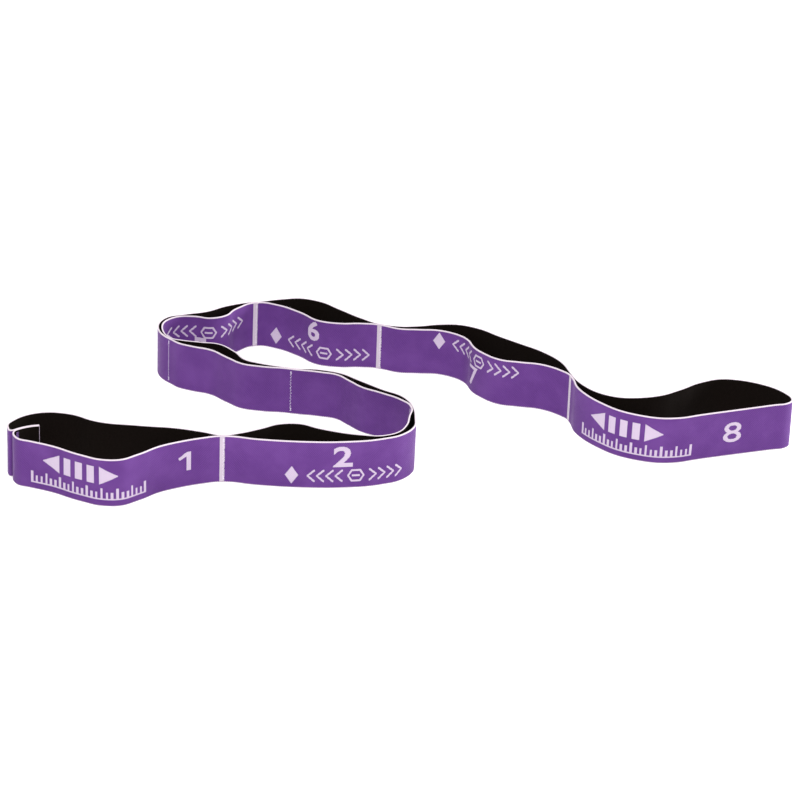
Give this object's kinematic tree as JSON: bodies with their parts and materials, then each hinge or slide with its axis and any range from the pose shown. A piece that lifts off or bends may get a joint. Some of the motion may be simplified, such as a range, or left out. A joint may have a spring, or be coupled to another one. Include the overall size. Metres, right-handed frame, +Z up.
{
  "type": "stretching strap",
  "caption": "Elastic stretching strap: a flat woven band with numbered loops divided by cross seams, for holding with hands or feet.",
  "frame": {"origin": "under the middle of the S-shaped layout, on the surface the strap stands on", "axes": "+X along the front run from loop 1 towards loop 2, +Y from the front run to the back run, +Z up across the width of the webbing"},
  "size_m": [0.5987, 0.2827, 0.04],
  "materials": {
    "webbing": "woven elastic webbing, purple outside and black inside, with white edges",
    "thread": "white polyester sewing thread with a slight sheen"
  },
  "bodies": {
    "loop_1_low": {"loop_1_low_front": "webbing", "loop_1_low_back": "webbing", "end_seam_stitch": "thread"},
    "loop_1_high": {"loop_1_high_front": "webbing", "loop_1_high_back": "webbing", "cross_stitch_1_2": "thread"},
    "loop_2_low": {"loop_2_low_front": "webbing", "loop_2_low_back": "webbing"},
    "loop_2_high": {"loop_2_high_front": "webbing", "loop_2_high_back": "webbing", "cross_stitch_2_3": "thread"},
    "loop_3_low": {"loop_3_low_front": "webbing", "loop_3_low_back": "webbing"},
    "loop_3_high": {"loop_3_high_front": "webbing", "loop_3_high_back": "webbing", "cross_stitch_3_4": "thread"},
    "loop_4_low": {"loop_4_low_front": "webbing", "loop_4_low_back": "webbing"},
    "loop_4_high": {"loop_4_high_front": "webbing", "loop_4_high_back": "webbing", "cross_stitch_4_5": "thread"},
    "loop_5_low": {"loop_5_low_front": "webbing", "loop_5_low_back": "webbing"},
    "loop_5_high": {"loop_5_high_front": "webbing", "loop_5_high_back": "webbing", "cross_stitch_5_6": "thread"},
    "loop_6_low": {"loop_6_low_front": "webbing", "loop_6_low_back": "webbing"},
    "loop_6_high": {"loop_6_high_front": "webbing", "loop_6_high_back": "webbing", "cross_stitch_6_7": "thread"},
    "loop_7_low": {"loop_7_low_front": "webbing", "loop_7_low_back": "webbing"},
    "loop_7_high": {"loop_7_high_front": "webbing", "loop_7_high_back": "webbing", "cross_stitch_7_8": "thread"},
    "loop_8_low": {"loop_8_low_front": "webbing", "loop_8_low_back": "webbing"},
    "loop_8_high": {"loop_8_high_fold": "webbing"}
  },
  "joints": [
    {"name": "fold_4_5", "type": "hinge", "parent": "loop_5_low", "child": "loop_4_high", "pos_m": [-0.1887, 0.0602, 0.02], "axis": [0, 0, 1], "range_deg": [-60, 20]},
    {"name": "elastic_stretch_4", "type": "slide", "parent": "loop_4_high", "child": "loop_4_low", "axis": [0.9135, -0.4067, 0], "range_m": [0, 0.046], "stiffness_N_per_m": 800},
    {"name": "fold_3_4", "type": "hinge", "parent": "loop_4_low", "child": "loop_3_high", "pos_m": [-0.0907, 0.0177, 0.02], "axis": [0, 0, -1], "range_deg": [-60, 60]},
    {"name": "elastic_stretch_3", "type": "slide", "parent": "loop_3_high", "child": "loop_3_low", "axis": [0.8192, -0.5736, 0], "range_m": [0, 0.046], "stiffness_N_per_m": 800},
    {"name": "fold_2_3", "type": "hinge", "parent": "loop_3_low", "child": "loop_2_high", "pos_m": [0.0038, -0.0368, 0.02], "axis": [0, 0, 1], "range_deg": [-25, 60]},
    {"name": "elastic_stretch_2", "type": "slide", "parent": "loop_2_high", "child": "loop_2_low", "axis": [-1, 0, 0], "range_m": [0, 0.0748], "stiffness_N_per_m": 500},
    {"name": "fold_1_2", "type": "hinge", "parent": "loop_2_low", "child": "loop_1_high", "pos_m": [-0.1362, -0.0958, 0.02], "axis": [0, 0, 1], "range_deg": [-60, 60]},
    {"name": "elastic_stretch_1", "type": "slide", "parent": "loop_1_high", "child": "loop_1_low", "axis": [-1, 0, 0], "range_m": [0, 0.0748], "stiffness_N_per_m": 500},
    {"name": "elastic_stretch_5", "type": "slide", "parent": "loop_5_low", "child": "loop_5_high", "axis": [0.891, 0.454, 0], "range_m": [0, 0.046], "stiffness_N_per_m": 800},
    {"name": "fold_5_6", "type": "hinge", "parent": "loop_5_high", "child": "loop_6_low", "pos_m": [-0.1247, 0.1307, 0.02], "axis": [0, 0, 1], "range_deg": [-20, 60]},
    {"name": "elastic_stretch_6", "type": "slide", "parent": "loop_6_low", "child": "loop_6_high", "axis": [0.9563, -0.2924, 0], "range_m": [0, 0.046], "stiffness_N_per_m": 800},
    {"name": "fold_6_7", "type": "hinge", "parent": "loop_6_high", "child": "loop_7_low", "pos_m": [-0.0227, 0.0997, 0.02], "axis": [0, 0, 1], "range_deg": [-40, 60]},
    {"name": "elastic_stretch_7", "type": "slide", "parent": "loop_7_low", "child": "loop_7_high", "axis": [0.866, -0.5, 0], "range_m": [0, 0.0748], "stiffness_N_per_m": 500},
    {"name": "fold_7_8", "type": "hinge", "parent": "loop_7_high", "child": "loop_8_low", "pos_m": [0.1288, 0.0232, 0.02], "axis": [0, 0, -1], "range_deg": [-60, 60]},
    {"name": "elastic_stretch_8", "type": "slide", "parent": "loop_8_low", "child": "loop_8_high", "axis": [0.9903, -0.1392, 0], "range_m": [0, 0.0844], "stiffness_N_per_m": 450}
  ],
  "couplings": [
    {"joint": "elastic_stretch_1", "follows": "elastic_stretch_8", "ratio": 0.8862},
    {"joint": "elastic_stretch_2", "follows": "elastic_stretch_8", "ratio": 0.8862},
    {"joint": "elastic_stretch_3", "follows": "elastic_stretch_8", "ratio": 0.545},
    {"joint": "elastic_stretch_4", "follows": "elastic_stretch_8", "ratio": 0.545},
    {"joint": "elastic_stretch_5", "follows": "elastic_stretch_8", "ratio": 0.545},
    {"joint": "elastic_stretch_6", "follows": "elastic_stretch_8", "ratio": 0.545},
    {"joint": "elastic_stretch_7", "follows": "elastic_stretch_8", "ratio": 0.8862}
  ]
}
